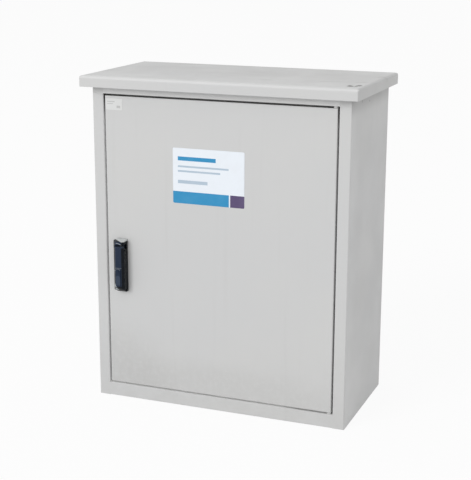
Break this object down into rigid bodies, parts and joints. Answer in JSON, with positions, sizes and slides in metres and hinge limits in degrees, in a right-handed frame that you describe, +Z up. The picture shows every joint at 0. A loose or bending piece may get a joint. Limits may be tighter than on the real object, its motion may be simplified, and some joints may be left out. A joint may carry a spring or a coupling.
{
  "type": "roadside utility cabinet",
  "caption": "Street cabinet of folded grey steel sheet with a flat cap roof, an inset door on corner pivots and a black swing handle that works a rod lock.",
  "frame": {"origin": "centre of the anchor bolt pattern, on the underside of the floor panel", "axes": "+Z up, front of the cabinet towards -Y, +X to the right as seen from the front"},
  "size_m": [0.853, 0.4427, 1.0045],
  "materials": {
    "casing_paint": "light grey powder coat, fine satin texture",
    "zinc_steel": "zinc plated",
    "copper_bar": "dull copper",
    "lock_brass": "satin nickel and brass",
    "seal_rubber": "matt black foam and rubber",
    "handle_black": "glossy black, scuffed",
    "bush_plastic": "natural nylon"
  },
  "bodies": {
    "cabinet": {"casing_wrap": "casing_paint", "top_panel": "casing_paint", "floor_panel": "casing_paint", "roof_cap": "casing_paint", "roof_seal": "seal_rubber", "roof_nuts": "zinc_steel", "gland_plate": "zinc_steel", "gland_gasket": "seal_rubber", "gland_screws": "zinc_steel", "cable_grommets": "seal_rubber", "mounting_plate": "zinc_steel", "plate_studs": "zinc_steel", "plate_nuts": "zinc_steel", "cable_rail": "zinc_steel", "rail_brackets": "casing_paint", "rail_bolts": "zinc_steel", "earth_bar": "copper_bar", "earth_supports": "zinc_steel", "earth_bolts": "zinc_steel", "upper_pivot_pin": "casing_paint", "lower_pivot_pin": "casing_paint", "pivot_nuts": "zinc_steel"},
    "door": {"door_pan": "casing_paint", "door_stiffeners": "casing_paint", "door_seal": "seal_rubber", "upper_pivot_bush": "bush_plastic", "lower_pivot_bush": "bush_plastic", "handle_base": "handle_black", "handle_gasket": "seal_rubber", "handle_screws": "zinc_steel", "lock_bracket": "zinc_steel", "upper_rod_guide": "zinc_steel", "lower_rod_guide": "zinc_steel"},
    "handle_spindle": {"spindle": "zinc_steel", "pinion": "zinc_steel", "spindle_screw": "zinc_steel"},
    "lever": {"handle_lever": "handle_black", "lever_pin": "zinc_steel", "cover_rivet": "handle_black", "lock_cylinder": "lock_brass"},
    "plug": {"lock_plug": "lock_brass"},
    "cover": {"dust_cover": "handle_black"},
    "rod_up": {"upper_rod": "zinc_steel"},
    "rod_down": {"lower_rod": "zinc_steel"}
  },
  "joints": [
    {"name": "door_hinge", "type": "hinge", "parent": "cabinet", "child": "door", "pos_m": [0.352, -0.1925, 0.496], "axis": [0, 0, 1], "range_deg": [0, 110]},
    {"name": "handle_turn", "type": "hinge", "parent": "door", "child": "handle_spindle", "pos_m": [-0.311, -0.2, 0.481], "axis": [0, -1, 0], "range_deg": [0, 90]},
    {"name": "lever_lift", "type": "hinge", "parent": "handle_spindle", "child": "lever", "pos_m": [-0.311, -0.2225, 0.481], "axis": [-1, 0, 0], "range_deg": [0, 40]},
    {"name": "plug_turn", "type": "hinge", "parent": "lever", "child": "plug", "pos_m": [-0.311, -0.22, 0.38], "axis": [0, -1, 0], "range_deg": [0, 90]},
    {"name": "cover_swing", "type": "hinge", "parent": "lever", "child": "cover", "pos_m": [-0.311, -0.2285, 0.4175], "axis": [0, -1, 0], "range_deg": [0, 100]},
    {"name": "upper_rod_slide", "type": "slide", "parent": "door", "child": "rod_up", "axis": [0, 0, 1], "range_m": [0, 0.01885]},
    {"name": "lower_rod_slide", "type": "slide", "parent": "door", "child": "rod_down", "axis": [0, 0, -1], "range_m": [0, 0.01885]}
  ],
  "couplings": [
    {"joint": "upper_rod_slide", "follows": "handle_turn", "m_per_rad": 0.012},
    {"joint": "lower_rod_slide", "follows": "handle_turn", "m_per_rad": 0.012}
  ]
}
